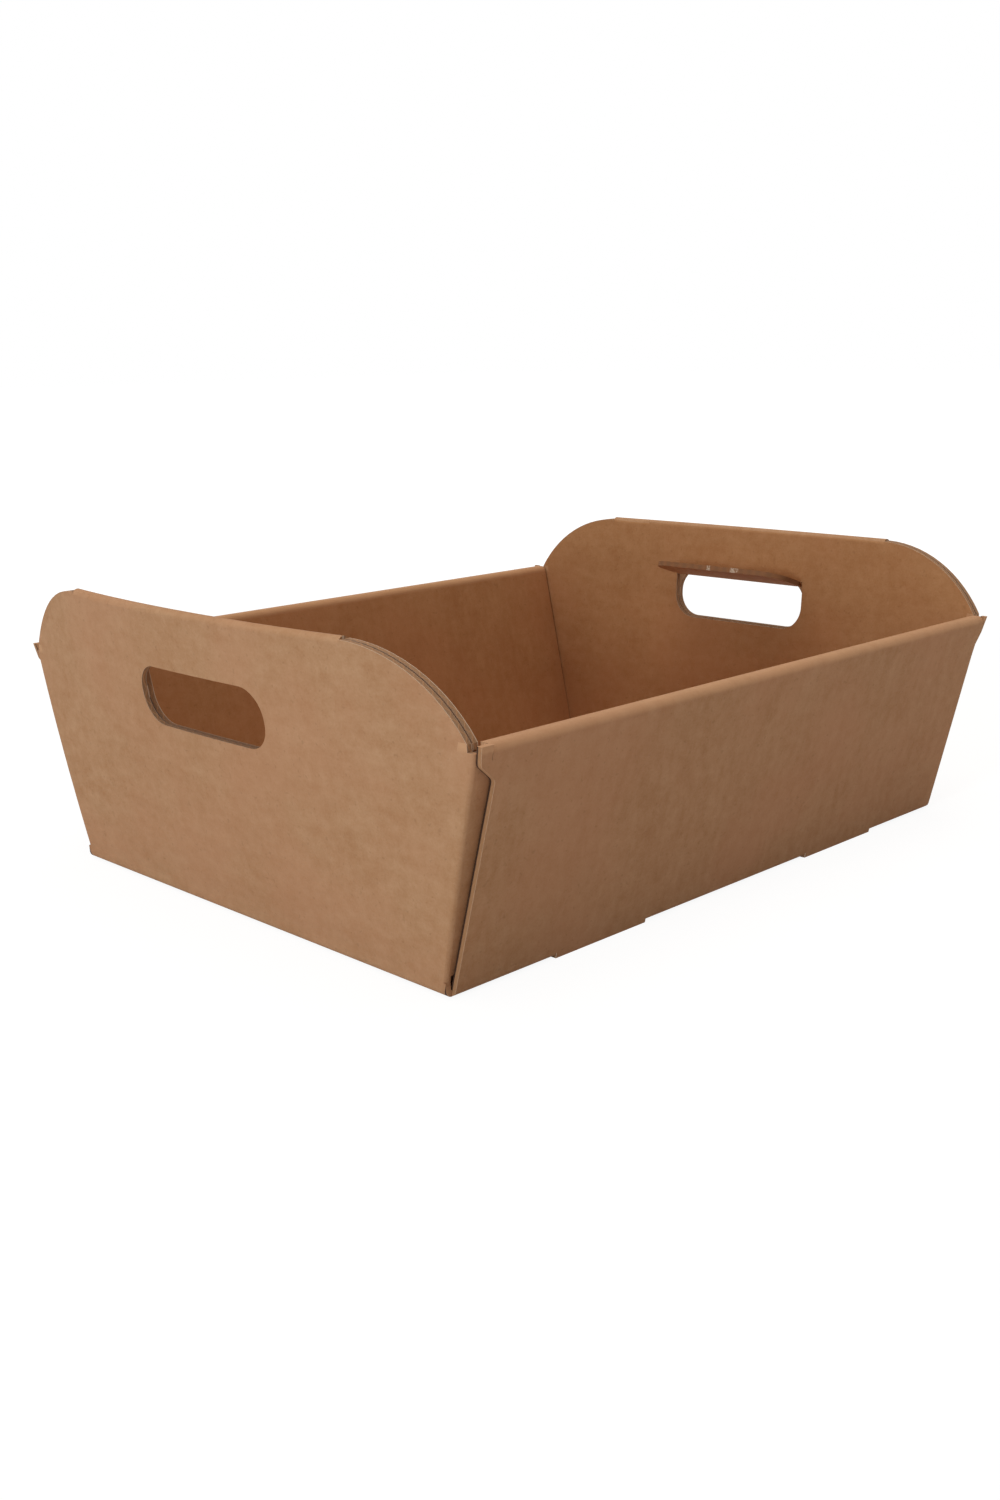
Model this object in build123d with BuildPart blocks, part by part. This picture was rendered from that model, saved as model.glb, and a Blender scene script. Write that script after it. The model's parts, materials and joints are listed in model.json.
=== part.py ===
from build123d import *
from math import asin, atan, cos, degrees, radians, sin, tan
import os

os.makedirs("parts", exist_ok=True)

# Hamper box: an open tray folded from one die-cut sheet of corrugated board.
# X runs along the box, the two handle ends stand at -X and +X, and +Z is up.
# The origin is on the surface it stands on, under the middle of the whole box.

# The board and how it folds
board = 3.0
layer_gap = 0.4
crease_inside_radius = 0.5
fold_radius = board + crease_inside_radius

# The tray, measured over its outer faces
base_length = 400.0
base_width = 299.0
rim_height = 119.6
handle_height = 158.3
side_lean = 14.3

# Lips of the side walls at the slots: the tray stands on them
lip_drop = 0.9

# Handle ends: a straight fold on top between two rounded shoulders
# The shoulders start past the base's sides and run in to the ends of the fold
shoulder_drop = 1.2
shoulder_overhang = 22.5
shoulder_run = 64.0
shoulder_mid_run = 24.5
shoulder_mid_share = 0.6563

# The packed box has sprung a little: each end leans and bows by its own amount
near_end_lean = 2.8
far_end_lean = 2.0
near_end_bow = 19.0
far_end_bow = 5.9

# Hand holes, placed from the top of the handle ends
hole_length = 100.0
hole_height = 30.5
hole_drop = 31.0
hole_radius = 14.5
lining_hole_growth = 0.6
lining_hole_top_radius = 4.0

# Hand flaps, cut from the lining of each end and creased along the top of its hole
flap_cut_clearance = 0.5
flap_hinge_clearance = 0.7
flap_rise = 18.0

# Side walls: ears at the rim, and slots in the base with the tabs that lock in them
side_end_inset = 3.5
side_end_inset_at_ear = 5.5
near_ear_length = 11.5
far_ear_length = 5.0
ear_height = 17.0
ear_tip_height = 9.0
ear_tip_slope = 1.5
ear_radius = 4.0
slot_start = 68.0
slot_length = 64.0
tab_clearance = 1.0
tab_end_gap = 0.6
tab_taper = 3.0
lining_end_gap = 0.5

# Corner flaps, tucked between a side wall and its lining
corner_flap_length = 58.0
corner_flap_foot_gap = 3.0
corner_flap_foot_rise = 6.0
corner_flap_taper = 8.0
corner_radius = 2.4

# How far a cutting shape runs past what it cuts
overrun = 5.0

# Widths of leaning boards, measured level
side_board = board / cos(radians(side_lean))
side_gap = layer_gap / cos(radians(side_lean))
rim_width = 3 * side_board + 2 * side_gap

# Levels
floor_z = lip_drop
floor_top = floor_z + board
rim_z = floor_z + rim_height
handle_z = floor_z + handle_height
crease_top = floor_z + 2 * fold_radius
lining_foot = floor_top + layer_gap
roll_start_z = rim_z - 2 * fold_radius
corner_flap_top = rim_z - board - layer_gap
corner_flap_foot = crease_top + corner_flap_foot_gap
shoulder_top_z = handle_z - shoulder_drop
hole_sill = handle_height - hole_drop - hole_height

# Reach from the middle of the base, lengthwise and across
half_length = base_length / 2
half_width = base_width / 2
side_end = half_length - side_end_inset
side_end_at_ear = half_length - side_end_inset_at_ear
near_ear_reach = side_end_at_ear + near_ear_length
far_ear_reach = side_end_at_ear + far_ear_length
shoulder_half_width = half_width + shoulder_overhang
shoulder_mid_y = shoulder_half_width - shoulder_mid_run
shoulder_mid_height = rim_height + (handle_height - rim_height) * shoulder_mid_share
fold_half_length = shoulder_half_width - shoulder_run


def side_y(z):
    """Outer face of a side wall at level z."""
    return half_width + (z - floor_z) * tan(radians(side_lean))


def end_x(z, lean):
    """Outer face of a handle end at level z, before it bows."""
    return half_length + (z - floor_z) * tan(radians(lean))


def end_board(lean):
    """Level width of one board of a handle end."""
    return board / cos(radians(lean))


def end_width(lean):
    """Level width of both boards of a handle end and the gap between them."""
    return (2 * board + layer_gap) / cos(radians(lean))


def fold_start_z(lean):
    """Level at which the round of an end's top fold begins."""
    return handle_z - end_width(lean) / 2


def corner_y(z):
    """Outer face of the corner flaps, one board inside the side wall."""
    return side_y(z) - side_board - side_gap


def end_lining_y(z):
    """Side edge of an end lining, just inside the corner flap."""
    return corner_y(z) - side_board - 2 * side_gap


def lining_end_x(z, lean):
    """End edge of a side lining, just short of the end lining."""
    return end_x(z, lean) - end_width(lean) - lining_end_gap


bow_half_width = corner_y(rim_z) + board


def half_side_outline(lean, ear_reach, direction):
    """Outline of a side wall from its middle towards one end, seen from the side."""
    roll_end = lining_end_x(rim_z, lean)
    points = [
        (side_end, floor_z),
        (side_end, crease_top),
        (side_end_at_ear, rim_z - ear_height),
        (ear_reach - ear_tip_slope, rim_z - ear_tip_height),
        (ear_reach, rim_z),
        (roll_end, rim_z),
        (roll_end, roll_start_z),
    ]
    return [(direction * x, z) for x, z in points]


# Side wall: base, crease and outer panel are one section along X
with BuildPart() as side_wall:
    with BuildSketch(Plane.YZ):
        with BuildLine():
            FilletPolyline(
                (0, floor_z),
                (side_y(floor_z), floor_z),
                (side_y(rim_z), rim_z),
                radius=fold_radius,
            )
            offset(amount=board, side=Side.LEFT)
        make_face()
    extrude(amount=near_ear_reach + far_ear_reach, both=True)
    with BuildSketch(Plane.XZ) as side_outline:
        with BuildLine():
            far_points = half_side_outline(far_end_lean, far_ear_reach, 1)
            near_points = half_side_outline(near_end_lean, near_ear_reach, -1)
            Polyline(*far_points, *reversed(near_points), close=True)
        make_face()
        ear_bends = side_outline.vertices().filter_by(
            lambda v: rim_z / 2 < v.Y < roll_start_z
        )
        fillet(ear_bends, radius=ear_radius)
    extrude(amount=-2 * side_y(rim_z), mode=Mode.INTERSECT)
    # Slots through the base, and the lip that each leaves on the outer panel
    slot_inner_y = side_y(floor_z) - rim_width - tab_clearance
    for start in (slot_start, -slot_start - slot_length):
        with BuildSketch(Plane.YZ.offset(start)):
            with BuildLine():
                Polyline(
                    (slot_inner_y, 0),
                    (slot_inner_y, crease_top),
                    (side_y(crease_top) + overrun, crease_top),
                    (side_y(crease_top) + overrun, 0),
                    close=True,
                )
            make_face()
        extrude(amount=slot_length, mode=Mode.SUBTRACT)
        with BuildSketch(Plane.YZ.offset(start)):
            with BuildLine():
                Polyline(
                    (side_y(crease_top), crease_top),
                    (side_y(0), 0),
                    (side_y(0) - side_board, 0),
                    (side_y(crease_top) - side_board, crease_top),
                    close=True,
                )
            make_face()
        extrude(amount=slot_length)


def half_lining_outline(lean, direction):
    """Outline of a side lining from its middle towards one end, tab included."""
    points = [
        (slot_start + tab_end_gap, lining_foot),
        (slot_start + tab_end_gap + tab_taper, floor_z),
        (slot_start + slot_length - tab_end_gap - tab_taper, floor_z),
        (slot_start + slot_length - tab_end_gap, lining_foot),
        (lining_end_x(lining_foot, lean), lining_foot),
        (lining_end_x(rim_z, lean), rim_z),
    ]
    return [(direction * x, z) for x, z in points]


# Rim roll and side lining: one strip folded over the rim and down to the base
with BuildPart() as side_lining:
    with BuildSketch(Plane.YZ):
        with BuildLine():
            FilletPolyline(
                (side_y(roll_start_z - overrun), roll_start_z - overrun),
                (side_y(rim_z), rim_z),
                (side_y(rim_z) - rim_width, rim_z),
                (side_y(-overrun) - rim_width, -overrun),
                radius=fold_radius,
            )
            offset(amount=board, side=Side.LEFT)
        make_face()
    extrude(amount=near_ear_reach + far_ear_reach, both=True)
    with BuildSketch(Plane.XZ):
        with BuildLine():
            far_points = half_lining_outline(far_end_lean, 1)
            near_points = half_lining_outline(near_end_lean, -1)
            Polyline(*far_points, *reversed(near_points), close=True)
        make_face()
    extrude(amount=-2 * side_y(rim_z), mode=Mode.INTERSECT)


def bow_radius(bow):
    """Radius in plan of a handle end that stands out by bow at its middle."""
    return (bow_half_width**2 + bow**2) / (2 * bow)


def layer_plan(level, lean, bow, outer_inset, inner_inset):
    """Plan of one layer of a handle end at a level, bowed outwards by an arc."""
    radius = bow_radius(bow)
    half_angle = degrees(asin(bow_half_width / radius))
    centre = (end_x(level, lean) + bow - radius, 0)
    with BuildSketch(Plane.XY.offset(level)) as plan:
        with BuildLine():
            outer_arc = CenterArc(centre, radius - outer_inset, -half_angle, 2 * half_angle)
            inner_arc = CenterArc(centre, radius - inner_inset, -half_angle, 2 * half_angle)
            Line(outer_arc @ 0, inner_arc @ 0)
            Line(outer_arc @ 1, inner_arc @ 1)
        make_face()
    return plan.sketch


def end_layer(lean, bow, outer_inset, inner_inset):
    """One layer of a handle end: flat at its foot, bowed in plan at its top."""
    with BuildSketch(Plane.XY.offset(crease_top)) as foot_plan:
        with BuildLine():
            Polyline(
                (end_x(crease_top, lean) - outer_inset, -bow_half_width),
                (end_x(crease_top, lean) - outer_inset, bow_half_width),
                (end_x(crease_top, lean) - inner_inset, bow_half_width),
                (end_x(crease_top, lean) - inner_inset, -bow_half_width),
                close=True,
            )
        make_face()
    with BuildPart() as layer:
        add(foot_plan.sketch)
        add(layer_plan(fold_start_z(lean), lean, bow, outer_inset, inner_inset))
        add(layer_plan(shoulder_top_z, lean, bow, outer_inset, inner_inset))
        loft(ruled=True)
    return layer.part


def shoulder_line(foot_points, lean):
    """Right half outline of a handle end, from its foot up over the shoulder."""
    Polyline((0, foot_points[0][1]), *foot_points)
    ThreePointArc(
        foot_points[-1],
        (shoulder_mid_y, floor_z + shoulder_mid_height),
        (fold_half_length, shoulder_top_z),
    )
    Polyline(
        (fold_half_length, shoulder_top_z),
        (fold_half_length, fold_start_z(lean)),
        (0, fold_start_z(lean)),
    )
    mirror(about=Plane.YZ)


def hole_outline(growth, top_radius):
    """Right and left halves of a hand hole, seen from the end."""
    bottom = floor_z + hole_sill - growth
    top = floor_z + hole_sill + hole_height + growth
    half = hole_length / 2 + growth
    corners = FilletPolyline(
        (0, bottom),
        (half, bottom),
        (half, top),
        (0, top),
        radius=(hole_radius + growth, top_radius),
    )
    mirror(corners, about=Plane.YZ)


reach = half_length + handle_height
lining_hole_top = floor_z + hole_sill + hole_height + lining_hole_growth


def handle_end(lean, bow):
    """One handle end: base crease, outer panel, top fold, lining, corner flaps."""
    radius = bow_radius(bow)
    width = end_width(lean)
    mid_board = end_board(lean) / 2
    lining_inset = width - end_board(lean)
    fold_z = fold_start_z(lean)
    centre_x = end_x(fold_z, lean) + bow - radius
    fold_angle = degrees(asin((fold_half_length + overrun) / radius))
    with BuildPart() as outer:
        add(end_layer(lean, bow, 0, end_board(lean)))
        with BuildSketch(Plane.YZ):
            with BuildLine():
                foot_points = [
                    (corner_y(crease_top), crease_top),
                    (corner_y(corner_flap_top), corner_flap_top),
                    (shoulder_half_width, corner_flap_top),
                    (shoulder_half_width, rim_z),
                ]
                shoulder_line(foot_points, lean)
            make_face()
        extrude(amount=reach, mode=Mode.INTERSECT)
        corner_mid_z = (crease_top + corner_flap_top) / 2
        corners = outer.edges().filter_by(
            lambda e: abs(e.center().Z - corner_mid_z) < board
            and e.center().X > end_x(corner_mid_z, lean) - mid_board
        )
        fillet(corners, radius=corner_radius)
        with BuildSketch(Plane.YZ):
            with BuildLine():
                hole_outline(0, hole_radius)
            make_face()
        extrude(amount=reach, mode=Mode.SUBTRACT)
    with BuildPart() as lining:
        add(end_layer(lean, bow, lining_inset, width))
        with BuildSketch(Plane.YZ):
            with BuildLine():
                foot_points = [
                    (end_lining_y(crease_top), crease_top),
                    (end_lining_y(corner_flap_top), corner_flap_top + layer_gap),
                    (shoulder_half_width, corner_flap_top + layer_gap),
                    (shoulder_half_width, rim_z),
                ]
                shoulder_line(foot_points, lean)
            make_face()
        extrude(amount=reach, mode=Mode.INTERSECT)
        with BuildSketch(Plane.YZ):
            with BuildLine():
                hole_outline(lining_hole_growth, lining_hole_top_radius)
            make_face()
        extrude(amount=reach, mode=Mode.SUBTRACT)
        # The lining's foot stops just above the base
        with BuildSketch(Plane.XZ):
            with BuildLine():
                Polyline(
                    (end_x(crease_top, lean) - lining_inset, crease_top),
                    (end_x(lining_foot, lean) - lining_inset, lining_foot),
                    (end_x(lining_foot, lean) - width, lining_foot),
                    (end_x(crease_top, lean) - width, crease_top),
                    close=True,
                )
            make_face()
        extrude(amount=end_lining_y(lining_foot), both=True)
    with BuildPart() as crease:
        with BuildSketch(Plane.XZ):
            with BuildLine():
                FilletPolyline(
                    (side_end, floor_z),
                    (half_length, floor_z),
                    (end_x(rim_z, lean), rim_z),
                    radius=fold_radius,
                )
                offset(amount=board, side=Side.LEFT)
            make_face()
        extrude(amount=corner_y(crease_top), both=True)
        with BuildSketch(Plane.XY.offset(crease_top)):
            Rectangle(2 * reach, 2 * reach)
        extrude(amount=reach, mode=Mode.SUBTRACT)
    with BuildPart() as corner_flap:
        with BuildSketch(Plane.YZ):
            with BuildLine():
                Polyline(
                    (corner_y(crease_top), crease_top),
                    (corner_y(corner_flap_top), corner_flap_top),
                    (corner_y(corner_flap_top) - side_board, corner_flap_top),
                    (corner_y(crease_top) - side_board, crease_top),
                    close=True,
                )
            make_face()
        extrude(amount=reach)
        free_foot = (half_length - corner_flap_length, corner_flap_foot + corner_flap_foot_rise)
        free_top = (half_length - corner_flap_length + corner_flap_taper, corner_flap_top)
        with BuildSketch(Plane.XZ):
            with BuildLine():
                Polyline(
                    (end_x(corner_flap_foot, lean) - mid_board, corner_flap_foot),
                    (end_x(corner_flap_top, lean) - mid_board, corner_flap_top),
                    free_top,
                    free_foot,
                    close=True,
                )
            make_face()
        extrude(amount=-reach, mode=Mode.INTERSECT)
    with BuildPart() as top_fold:
        fold_plane = Plane(
            origin=(centre_x, 0, fold_z),
            x_dir=(cos(radians(fold_angle)), -sin(radians(fold_angle)), 0),
            z_dir=(-sin(radians(fold_angle)), -cos(radians(fold_angle)), 0),
        )
        with BuildSketch(fold_plane):
            with Locations((radius - width / 2, 0)):
                Circle(width / 2)
                Circle(lining_inset - width / 2, mode=Mode.SUBTRACT)
            with Locations((radius, -width)):
                Rectangle(4 * width, 2 * width, mode=Mode.SUBTRACT)
        revolve(axis=Axis((centre_x, 0, 0), (0, 0, 1)), revolution_arc=2 * fold_angle)
        with BuildSketch(Plane.YZ):
            with Locations((0, handle_z)):
                Rectangle(2 * fold_half_length, 4 * width)
        extrude(amount=reach, mode=Mode.INTERSECT)
    with BuildPart() as end:
        add(outer.part)
        add(crease.part)
        add(top_fold.part)
        add(lining.part)
        add(corner_flap.part)
        add(corner_flap.part.mirror(Plane.XZ))
    return end.part


def hand_flap(lean, bow):
    """Hand flap of one end, standing inwards from its crease above the hole."""
    hinge_z = lining_hole_top - flap_hinge_clearance
    half = hole_length / 2 + lining_hole_growth - flap_cut_clearance
    hinge_share = half / bow_half_width
    height_share = (hinge_z - crease_top) / (fold_start_z(lean) - crease_top)
    bow_here = bow * height_share * (1 - hinge_share**2)
    bow_slope = bow / (fold_start_z(lean) - crease_top)
    wall_angle = atan(tan(radians(lean)) + bow_slope)
    drop = hinge_z - floor_z - hole_sill + lining_hole_growth
    length = drop / cos(wall_angle) - flap_cut_clearance
    hinge_x = end_x(hinge_z, lean) - end_width(lean) + bow_here
    hinge_plane = Plane(
        origin=(hinge_x, 0, hinge_z),
        x_dir=(0, 1, 0),
        z_dir=(sin(radians(flap_rise)), 0, cos(radians(flap_rise))),
    )
    with BuildPart() as flap:
        with BuildSketch(hinge_plane):
            with BuildLine():
                flap_line = FilletPolyline(
                    (0, 0),
                    (half, 0),
                    (half, length),
                    (0, length),
                    radius=(lining_hole_top_radius, hole_radius),
                )
                mirror(flap_line, about=Plane.YZ)
            make_face()
        extrude(amount=-board)
    return flap.part


# The origin lies under the middle of the whole box, the bows of its ends included
near_reach = end_x(fold_start_z(near_end_lean), near_end_lean) + near_end_bow
far_reach = end_x(fold_start_z(far_end_lean), far_end_lean) + far_end_bow
middle_x = (near_reach - far_reach) / 2

far_end = handle_end(far_end_lean, far_end_bow)
near_end = handle_end(near_end_lean, near_end_bow).mirror(Plane.YZ)
far_flap = hand_flap(far_end_lean, far_end_bow)
near_flap = hand_flap(near_end_lean, near_end_bow).mirror(Plane.YZ)

with BuildPart() as folded_tray:
    with Locations((middle_x, 0, 0)):
        for wall in (side_wall.part, side_lining.part):
            add(wall)
            add(wall.mirror(Plane.XZ))
        add(far_end)
        add(near_end)
folded_tray.part.label = "folded_tray"
export_step(folded_tray.part, "parts/folded_tray.step")

with BuildPart() as far_hand_flap:
    with Locations((middle_x, 0, 0)):
        add(far_flap)
far_hand_flap.part.label = "far_hand_flap"
export_step(far_hand_flap.part, "parts/far_hand_flap.step")

with BuildPart() as near_hand_flap:
    with Locations((middle_x, 0, 0)):
        add(near_flap)
near_hand_flap.part.label = "near_hand_flap"
export_step(near_hand_flap.part, "parts/near_hand_flap.step")
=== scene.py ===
import json
import math

import bmesh
import bpy
from bpy.props import FloatProperty, FloatVectorProperty, PointerProperty
from mathutils import Matrix, Vector


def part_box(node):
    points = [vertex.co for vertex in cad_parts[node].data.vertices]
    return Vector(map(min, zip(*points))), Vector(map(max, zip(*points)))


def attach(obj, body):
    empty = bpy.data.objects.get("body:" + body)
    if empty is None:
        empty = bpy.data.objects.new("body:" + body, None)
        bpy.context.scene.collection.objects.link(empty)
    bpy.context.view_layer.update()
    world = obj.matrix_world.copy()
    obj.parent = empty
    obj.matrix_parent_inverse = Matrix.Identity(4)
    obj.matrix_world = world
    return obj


bl_info = {
    "name": "Hamper box",
    "version": (1, 0, 0),
    "blender": (4, 5, 0),
    "location": "View3D > Sidebar > Hamper box",
    "description": "Dresses the folded board tray, its hand flaps and its stage",
    "category": "Object",
}

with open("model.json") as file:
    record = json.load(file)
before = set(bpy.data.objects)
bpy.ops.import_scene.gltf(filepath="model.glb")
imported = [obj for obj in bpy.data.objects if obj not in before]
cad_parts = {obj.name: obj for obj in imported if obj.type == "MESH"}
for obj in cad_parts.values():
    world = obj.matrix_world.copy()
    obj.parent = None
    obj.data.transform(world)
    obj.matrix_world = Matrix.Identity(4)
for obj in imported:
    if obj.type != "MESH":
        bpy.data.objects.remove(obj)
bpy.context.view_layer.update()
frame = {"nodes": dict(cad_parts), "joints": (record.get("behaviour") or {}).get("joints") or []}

# Pieces of the tray: the folded tray and its two hand flaps
TRAY = "folded_tray"
FLAPS = {"near": "near_hand_flap", "far": "far_hand_flap"}

# How finely the crease papers are rounded
LINER_SIDES = 24
BRIDGE_SIDES = 12
BRIDGE_STEPS = 16

# Turns the axis of a round shape to lie along a crease
ALONG_CREASE = Matrix.Rotation(math.radians(90), 4, "X")

# Noises of the paper: scale, detail, roughness and, for streaks, the stretch along each axis
CLOUDS = (30.0, 4.0, 0.6)
PATCHES = (170.0, 3.0, 0.6)
LYING_STREAKS = (150.0, 3.0, 0.6, (1.0, 0.3, 1.0))
STANDING_STREAKS = (150.0, 3.0, 0.6, (1.0, 1.0, 0.1))
FIBRES = (900.0, 2.0, 0.6)
FLECKS = (420.0, 1.0, 0.5)
BLUSHES = (11.0, 3.0, 0.5)

# Weight of each noise beside the clouds in the tray's tone, and what comes off their sum
PATCH_WEIGHT = 1.3
STREAK_WEIGHT = 1.1
FIBRE_WEIGHT = 0.8
TONE_OFFSET = 1.6

# The same for the paper of the hand flaps and their creases
FLAP_CLOUD_WEIGHT = 1.4
FLAP_FIBRE_WEIGHT = 0.6
FLAP_TONE_OFFSET = 0.5

# Marks in the paper: the noise's level and softness where they set in, and their strength
BLUSH_LEVEL = (0.52, 0.12)
FLECK_LEVEL = (0.71, 0.05)
BLUSH_SHARE = 0.35
FLECK_SHARE = 0.25
FLECK_DARKNESS = 0.62

# Level and softness at which a part of the surface normal tells a face apart
CUT_ACROSS = (0.5, 0.02)
PANEL_END_FACE = (0.3, 0.02)
LIP_END_FACE = (0.7, 0.02)
FACE_UP = (0.6, 0.02)
GAP_SHADE_FACE = (0.15, 0.05)
ON_HANDLE_END = (0.7, 0.05)
FLAP_RIM_FACE = (0.6, 0.05)

# Margins in metres between the limit of a mask and the edge that it marks
END_MARGIN = 0.001
END_LINING_MARGIN = 0.0006
SIDE_MARGIN = 0.0006
SIDE_BACK_MARGIN = 0.0002
SHOULDER_MARGIN = 0.0002
RIM_MARGIN = 0.0004
LIP_TOP_MARGIN = 0.0004
LIP_FOOT_MARGIN = 0.0002

# Extents in metres of the cut edges, from the middle, the rim, the base's ends or its sides
SHOULDER_FOOT = 0.0036
HOLE_HALF_LENGTH = 0.0515
HOLE_FOOT = 0.0245
HOLE_TOP = 0.0085
EAR_LENGTH = 0.009
LIP_WIDTH = 0.0045

# Depths behind the outer face, counted in boards
HANDLE_CUT_DEPTH = 1.5
RIM_HIGHLIGHT_BOARDS = 4.0
INSIDE_SIDE_DEPTH = 2.5
INSIDE_END_DEPTH = 2.0
TUCKED_FRONT = 1.0
TUCKED_BACK = 1.6

# Cut board: its lines as shares of the thickness with their softness, the painted shade along the
# gap in metres, and the strength of the painted highlight on handle ends' cuts and painted shade
# on wall ends
LINER_LINE = (0.8, 0.06)
FLUTE_LINE = (0.15, 0.06)
FLUTE_HEIGHT = 0.32
FLUTE_SLANT = 0.6
GAP_SHADE_LINE = (0.00045, 0.0002)
BOARD_MIDDLE = 0.5
SHADED_BACK = (0.72, 0.1)
END_EDGE_HIGHLIGHT = 0.3
SIDE_EDGE_SHADE = 0.75

# Painted highlight along the folds of the rim and of the handle ends' tops: extents in metres,
# softness and strength
RIM_HIGHLIGHT_DEPTH = 0.0032
RIM_HIGHLIGHT_TOP = 0.0006
TOP_HIGHLIGHT_START = 0.0012
HIGHLIGHT_SOFTNESS = 0.0012
HIGHLIGHT_MARGIN = 0.001
TOP_HIGHLIGHT_SHARE = 0.3
HIGHLIGHT_CLOUDS = 0.9
HIGHLIGHT_PALENESS = 1.3
HIGHLIGHT_SHARE = 0.9

# Painted shade on the corner flaps tucked behind the side walls, darker away from the walls' ends:
# extents in metres, and strength
TUCKED_END = 0.0005
TUCKED_SOFTNESS = 0.006
TUCKED_TOP = 0.004
TUCKED_SHADE_SHARE = 0.6

# Relief of the paper: share of each part in the bump, its strength and its depth in metres
FIBRE_RELIEF = 0.5
CLOUD_RELIEF = 0.8
RIB_RELIEF = 0.05
HOLLOW_RELIEF = 1.5
RELIEF_STRENGTH = 0.35
RELIEF_DEPTH = 0.00025
FIBRE_ROUGHNESS = 0.12

# Rim of a hand flap: how its flutes show in the cut edge
FLAP_FLUTE_CHANGE = 0.2
FLAP_FLUTE_SHARE = 0.6

# Torn specks on the far flap's free edge: middle and half length of each along Y
FAR_FLAP_NICKS = ((0.0015, 0.0014), (-0.018, 0.002), (-0.021, 0.0008))
NICK_SOFTNESS = 0.0008
NICK_FIBRES = (0.46, 0.04)
NICK_INNER_LIMIT = (0.183, 0.0003)
NICK_SHARE = 0.7

WHITE = (1.0, 1.0, 1.0)

# Half width of a mask's edge where none is given
SHARP = 0.0001

# The Mix node's sockets for colours, which share their names with its other kinds
MIX_FACTOR = 0
MIX_FIRST = 6
MIX_SECOND = 7
MIX_RESULT = 2


# Shader maths


class Wire:
    """A shader socket that can be used in an expression."""

    def __init__(self, shader, socket):
        self.shader = shader
        self.socket = socket

    def _math(self, operation, *values):
        return self.shader.node("ShaderNodeMath", {"operation": operation}, list(values))

    def __add__(self, other):
        return self._math("ADD", self, other)

    __radd__ = __add__

    def __sub__(self, other):
        return self._math("SUBTRACT", self, other)

    def __rsub__(self, other):
        return self._math("SUBTRACT", other, self)

    def __mul__(self, other):
        return self._math("MULTIPLY", self, other)

    __rmul__ = __mul__

    def __truediv__(self, other):
        return self._math("DIVIDE", self, other)

    def __rtruediv__(self, other):
        return self._math("DIVIDE", other, self)

    def __abs__(self):
        return self._math("ABSOLUTE", self)

    def remainder(self, step):
        """What is left over after whole steps."""
        return self._math("FLOORED_MODULO", self, step)

    def sine(self):
        return self._math("SINE", self)

    def clamped(self):
        return self.shader.node("ShaderNodeClamp", {}, {"Value": self})

    def above(self, edge, soft=SHARP):
        """1 where the value is over the edge, 0 under it."""
        return self.shader.node(
            "ShaderNodeMapRange",
            {"interpolation_type": "SMOOTHSTEP", "clamp": True},
            {"Value": self, "From Min": edge - soft, "From Max": edge + soft},
        )

    def below(self, edge, soft=SHARP):
        """1 where the value is under the edge, 0 over it."""
        return 1.0 - self.above(edge, soft)


class Shader:
    """Builds the nodes of one material or world."""

    def __init__(self, owner):
        owner.use_nodes = True
        self.tree = owner.node_tree
        self.tree.nodes.clear()

    def node(self, kind, settings, values, outputs=0):
        """Adds a node, with its settings first and then its input values or links."""
        made = self.tree.nodes.new(kind)
        for name, value in settings.items():
            setattr(made, name, value)
        pairs = values.items() if isinstance(values, dict) else enumerate(values)
        for key, value in pairs:
            socket = made.inputs[key]
            if isinstance(value, Wire):
                self.tree.links.new(value.socket, socket)
            elif socket.type == "RGBA":
                socket.default_value = (*value[:3], 1.0)
            else:
                socket.default_value = value
        if isinstance(outputs, tuple):
            return [Wire(self, made.outputs[key]) for key in outputs]
        return Wire(self, made.outputs[outputs])

    def show(self, kind, surface):
        """Ends the tree in its output node."""
        self.node(kind, {}, {"Surface": surface}, ())

    def blend(self, factor, first, second, kind="MIX"):
        """Mixes two colours."""
        settings = {"data_type": "RGBA", "blend_type": kind}
        values = {MIX_FACTOR: factor, MIX_FIRST: first, MIX_SECOND: second}
        return self.node("ShaderNodeMix", settings, values, MIX_RESULT)

    def tint(self, factor, colour, shade):
        """Multiplies a colour by a shade."""
        return self.blend(factor, colour, shade, "MULTIPLY")

    def place(self):
        """Object coordinates."""
        return self.node("ShaderNodeTexCoord", {}, {}, "Object")

    def parts(self, vector):
        """The three parts of a vector."""
        return self.node("ShaderNodeSeparateXYZ", {}, [vector], (0, 1, 2))

    def facing(self):
        """The three parts of the true surface normal, as the piece itself has it."""
        normal = self.node("ShaderNodeNewGeometry", {}, {}, "True Normal")
        settings = {"vector_type": "NORMAL", "convert_from": "WORLD", "convert_to": "OBJECT"}
        return self.parts(self.node("ShaderNodeVectorTransform", settings, {"Vector": normal}))

    def noise(self, place, scale, detail, roughness, stretch=None):
        """A soft noise, stretched along the axes if asked."""
        if stretch:
            place = self.node("ShaderNodeMapping", {}, {"Vector": place, "Scale": stretch})
        values = {"Vector": place, "Scale": scale, "Detail": detail, "Roughness": roughness}
        return self.node("ShaderNodeTexNoise", {}, values, "Fac")

    def looked_at(self):
        """1 for what the camera sees, straight, mirrored or through glass, and else 0."""
        rays = ("Is Camera Ray", "Is Glossy Ray", "Is Transmission Ray")
        seen, mirrored, through = self.node("ShaderNodeLightPath", {}, {}, rays)
        return (seen + mirrored + through).clamped()


def linear(red, green, blue):
    """A colour written in screen values, made linear."""
    return tuple(
        c / 12.92 if c <= 0.04045 else ((c + 0.055) / 1.055) ** 2.4
        for c in (red / 255, green / 255, blue / 255)
    )


# Settings


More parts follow.
